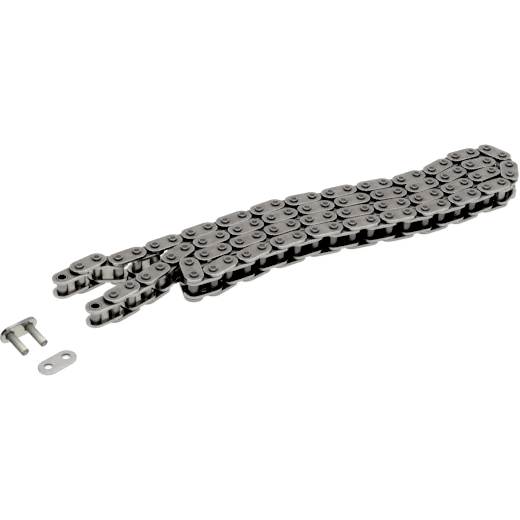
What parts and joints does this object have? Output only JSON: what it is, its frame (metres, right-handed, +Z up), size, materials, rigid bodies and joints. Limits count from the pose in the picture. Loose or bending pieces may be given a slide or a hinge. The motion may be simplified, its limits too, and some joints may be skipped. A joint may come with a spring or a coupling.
{
  "type": "cam chain",
  "caption": "Bush timing chain of riveted outer links and pressed inner links, open at both ends and folded into nested rows, with its loose joining link and cover plate.",
  "frame": {"origin": "on the surface that the chain lies on, in the middle of the whole lay-out", "axes": "+X along the rows, from the open ends to the outer fold; +Y from the front row to the far row; +Z up, along the pins"},
  "size_m": [0.1862, 0.0414, 0.0091],
  "materials": {
    "outer_plate_steel": "satin grey heat-treated steel with bright worn edges",
    "inner_plate_steel": "satin grey steel, a little lighter than the outer plates",
    "pin_steel": "ground steel with a warm tint, bright on the riveted rims",
    "bush_steel": "bright rolled steel",
    "joining_plate_steel": "light satin nickel-like steel"
  },
  "bodies": {
    "folded_pack": {"front_row_outer_plates": "outer_plate_steel", "front_row_pins": "pin_steel", "front_row_inner_plates": "inner_plate_steel", "front_row_bushes": "bush_steel", "left_fold_outer_plates": "outer_plate_steel", "left_fold_pins": "pin_steel", "left_fold_inner_plates": "inner_plate_steel", "left_fold_bushes": "bush_steel", "third_row_outer_plates": "outer_plate_steel", "third_row_pins": "pin_steel", "third_row_inner_plates": "inner_plate_steel", "third_row_bushes": "bush_steel", "inner_fold_inner_plates": "inner_plate_steel", "inner_fold_bushes": "bush_steel", "second_row_outer_plates": "outer_plate_steel", "second_row_pins": "pin_steel", "second_row_inner_plates": "inner_plate_steel", "second_row_bushes": "bush_steel"},
    "inner_link_01": {"inner_link_01": "inner_plate_steel"},
    "outer_link_01": {"outer_link_01": "outer_plate_steel"},
    "inner_link_02": {"inner_link_02": "inner_plate_steel"},
    "outer_link_02": {"outer_link_02": "outer_plate_steel"},
    "inner_link_03": {"inner_link_03": "inner_plate_steel"},
    "outer_link_03": {"outer_link_03": "outer_plate_steel"},
    "inner_link_04": {"inner_link_04": "inner_plate_steel"},
    "outer_link_04": {"outer_link_04": "outer_plate_steel"},
    "inner_link_05": {"inner_link_05": "inner_plate_steel"},
    "outer_link_05": {"outer_link_05": "outer_plate_steel"},
    "inner_link_06": {"inner_link_06": "inner_plate_steel"},
    "outer_link_06": {"outer_link_06": "outer_plate_steel"},
    "inner_link_07": {"inner_link_07": "inner_plate_steel"},
    "outer_link_07": {"outer_link_07": "outer_plate_steel"},
    "inner_link_08": {"inner_link_08": "inner_plate_steel"},
    "outer_link_08": {"outer_link_08": "outer_plate_steel"},
    "inner_link_09": {"inner_link_09": "inner_plate_steel"},
    "outer_link_09": {"outer_link_09": "outer_plate_steel"},
    "inner_link_10": {"inner_link_10": "inner_plate_steel"},
    "outer_link_10": {"outer_link_10": "outer_plate_steel"},
    "inner_link_11": {"inner_link_11": "inner_plate_steel"},
    "outer_link_11": {"outer_link_11": "outer_plate_steel"},
    "inner_link_12": {"inner_link_12": "inner_plate_steel"},
    "outer_link_12": {"outer_link_12": "outer_plate_steel"},
    "inner_link_13": {"inner_link_13": "inner_plate_steel"},
    "outer_link_13": {"outer_link_13": "outer_plate_steel"},
    "inner_link_14": {"inner_link_14": "inner_plate_steel"},
    "outer_link_14": {"outer_link_14": "outer_plate_steel"},
    "inner_link_15": {"inner_link_15": "inner_plate_steel"},
    "inner_link_44": {"inner_link_44": "inner_plate_steel"},
    "outer_link_44": {"outer_link_44": "outer_plate_steel"},
    "inner_link_45": {"inner_link_45": "inner_plate_steel"},
    "outer_link_45": {"outer_link_45": "outer_plate_steel"},
    "inner_link_46": {"inner_link_46": "inner_plate_steel"},
    "joining_link": {"joining_plate": "joining_plate_steel", "joining_pins": "pin_steel"},
    "cover_plate": {"cover_plate": "joining_plate_steel"}
  },
  "joints": [
    {"name": "pin_joint_01", "type": "hinge", "parent": "outer_link_01", "child": "inner_link_01", "pos_m": [-0.06232, 0.01298, 0.00456], "axis": [0, 0, 1], "range_deg": [-90, 90]},
    {"name": "pin_joint_02", "type": "hinge", "parent": "inner_link_02", "child": "outer_link_01", "pos_m": [-0.05616, 0.01451, 0.00456], "axis": [0, 0, -1], "range_deg": [-60, 80]},
    {"name": "pin_joint_03", "type": "hinge", "parent": "outer_link_02", "child": "inner_link_02", "pos_m": [-0.05041, 0.01183, 0.00456], "axis": [0, 0, 1], "range_deg": [-70, 30]},
    {"name": "pin_joint_04", "type": "hinge", "parent": "inner_link_03", "child": "outer_link_02", "pos_m": [-0.04409, 0.01249, 0.00456], "axis": [0, 0, -1], "range_deg": [-20, 60]},
    {"name": "pin_joint_05", "type": "hinge", "parent": "outer_link_03", "child": "inner_link_03", "pos_m": [-0.03778, 0.01316, 0.00456], "axis": [0, 0, 1], "range_deg": [-50, 15]},
    {"name": "pin_joint_06", "type": "hinge", "parent": "inner_link_04", "child": "outer_link_03", "pos_m": [-0.03146, 0.01382, 0.00456], "axis": [0, 0, -1], "range_deg": [-10, 50]},
    {"name": "pin_joint_07", "type": "hinge", "parent": "outer_link_04", "child": "inner_link_04", "pos_m": [-0.02515, 0.01449, 0.00456], "axis": [0, 0, 1], "range_deg": [-45, 0]},
    {"name": "pin_joint_08", "type": "hinge", "parent": "inner_link_05", "child": "outer_link_04", "pos_m": [-0.01883, 0.01515, 0.00456], "axis": [0, 0, -1], "range_deg": [0, 40]},
    {"name": "pin_joint_09", "type": "hinge", "parent": "outer_link_05", "child": "inner_link_05", "pos_m": [-0.01252, 0.01581, 0.00456], "axis": [0, 0, 1], "range_deg": [-40, 0]},
    {"name": "pin_joint_10", "type": "hinge", "parent": "inner_link_06", "child": "outer_link_05", "pos_m": [-0.0062, 0.01648, 0.00456], "axis": [0, 0, -1], "range_deg": [0, 35]},
    {"name": "pin_joint_11", "type": "hinge", "parent": "outer_link_06", "child": "inner_link_06", "pos_m": [0.00011, 0.01714, 0.00456], "axis": [0, 0, 1], "range_deg": [-35, 0]},
    {"name": "pin_joint_12", "type": "hinge", "parent": "inner_link_07", "child": "outer_link_06", "pos_m": [0.00643, 0.0178, 0.00456], "axis": [0, 0, -1], "range_deg": [0, 35]},
    {"name": "pin_joint_13", "type": "hinge", "parent": "outer_link_07", "child": "inner_link_07", "pos_m": [0.01274, 0.01714, 0.00456], "axis": [0, 0, 1], "range_deg": [-30, 0]},
    {"name": "pin_joint_14", "type": "hinge", "parent": "inner_link_08", "child": "outer_link_07", "pos_m": [0.01906, 0.01648, 0.00456], "axis": [0, 0, -1], "range_deg": [0, 30]},
    {"name": "pin_joint_15", "type": "hinge", "parent": "outer_link_08", "child": "inner_link_08", "pos_m": [0.02537, 0.01581, 0.00456], "axis": [0, 0, 1], "range_deg": [-30, 0]},
    {"name": "pin_joint_16", "type": "hinge", "parent": "inner_link_09", "child": "outer_link_08", "pos_m": [0.03172, 0.01548, 0.00456], "axis": [0, 0, -1], "range_deg": [0, 30]},
    {"name": "pin_joint_17", "type": "hinge", "parent": "outer_link_09", "child": "inner_link_09", "pos_m": [0.038, 0.0146, 0.00456], "axis": [0, 0, 1], "range_deg": [-30, 0]},
    {"name": "pin_joint_18", "type": "hinge", "parent": "inner_link_10", "child": "outer_link_09", "pos_m": [0.04429, 0.01371, 0.00456], "axis": [0, 0, -1], "range_deg": [0, 25]},
    {"name": "pin_joint_19", "type": "hinge", "parent": "outer_link_10", "child": "inner_link_10", "pos_m": [0.05058, 0.01283, 0.00456], "axis": [0, 0, 1], "range_deg": [-25, 0]},
    {"name": "pin_joint_20", "type": "hinge", "parent": "inner_link_11", "child": "outer_link_10", "pos_m": [0.05691, 0.01327, 0.00456], "axis": [0, 0, -1], "range_deg": [0, 25]},
    {"name": "pin_joint_21", "type": "hinge", "parent": "outer_link_11", "child": "inner_link_11", "pos_m": [0.06325, 0.01372, 0.00456], "axis": [0, 0, 1], "range_deg": [-25, 0]},
    {"name": "pin_joint_22", "type": "hinge", "parent": "inner_link_12", "child": "outer_link_11", "pos_m": [0.06932, 0.01557, 0.00456], "axis": [0, 0, -1], "range_deg": [0, 25]},
    {"name": "pin_joint_23", "type": "hinge", "parent": "outer_link_12", "child": "inner_link_12", "pos_m": [0.07539, 0.01743, 0.00456], "axis": [0, 0, 1], "range_deg": [-25, 0]},
    {"name": "pin_joint_24", "type": "hinge", "parent": "inner_link_13", "child": "outer_link_12", "pos_m": [0.08174, 0.01743, 0.00456], "axis": [0, 0, -1], "range_deg": [0, 25]},
    {"name": "pin_joint_25", "type": "hinge", "parent": "outer_link_13", "child": "inner_link_13", "pos_m": [0.08809, 0.0171, 0.00456], "axis": [0, 0, 1], "range_deg": [-25, 0]},
    {"name": "pin_joint_26", "type": "hinge", "parent": "inner_link_14", "child": "outer_link_13", "pos_m": [0.09015, 0.01109, 0.00456], "axis": [0, 0, -1], "range_deg": [0, 25]},
    {"name": "pin_joint_27", "type": "hinge", "parent": "outer_link_14", "child": "inner_link_14", "pos_m": [0.0884, 0.00499, 0.00456], "axis": [0, 0, 1], "range_deg": [-25, 0]},
    {"name": "pin_joint_28", "type": "hinge", "parent": "inner_link_15", "child": "outer_link_14", "pos_m": [0.08476, -0.00021, 0.00456], "axis": [0, 0, -1], "range_deg": [0, 25]},
    {"name": "pin_joint_29", "type": "hinge", "parent": "folded_pack", "child": "inner_link_15", "pos_m": [0.07915, -0.00319, 0.00456], "axis": [0, 0, 1], "range_deg": [-25, 0]},
    {"name": "pin_joint_86", "type": "hinge", "parent": "folded_pack", "child": "inner_link_44", "pos_m": [-0.03613, 0.00536, 0.00456], "axis": [0, 0, -1], "range_deg": [-10, 15]},
    {"name": "pin_joint_87", "type": "hinge", "parent": "inner_link_44", "child": "outer_link_44", "pos_m": [-0.04145, 0.0019, 0.00456], "axis": [0, 0, 1], "range_deg": [-20, 45]},
    {"name": "pin_joint_88", "type": "hinge", "parent": "outer_link_44", "child": "inner_link_45", "pos_m": [-0.04725, -0.00068, 0.00456], "axis": [0, 0, -1], "range_deg": [-75, 30]},
    {"name": "pin_joint_89", "type": "hinge", "parent": "inner_link_45", "child": "outer_link_45", "pos_m": [-0.05329, -0.00264, 0.00456], "axis": [0, 0, 1], "range_deg": [-45, 90]},
    {"name": "pin_joint_90", "type": "hinge", "parent": "outer_link_45", "child": "inner_link_46", "pos_m": [-0.05933, -0.0046, 0.00456], "axis": [0, 0, -1], "range_deg": [-90, 90]},
    {"name": "joining_link_lift", "type": "slide", "parent": "folded_pack", "child": "joining_link", "axis": [0, 0, 1], "range_m": [0, 0.03]},
    {"name": "cover_plate_lift", "type": "slide", "parent": "folded_pack", "child": "cover_plate", "axis": [0, 0, 1], "range_m": [0, 0.03]}
  ]
}
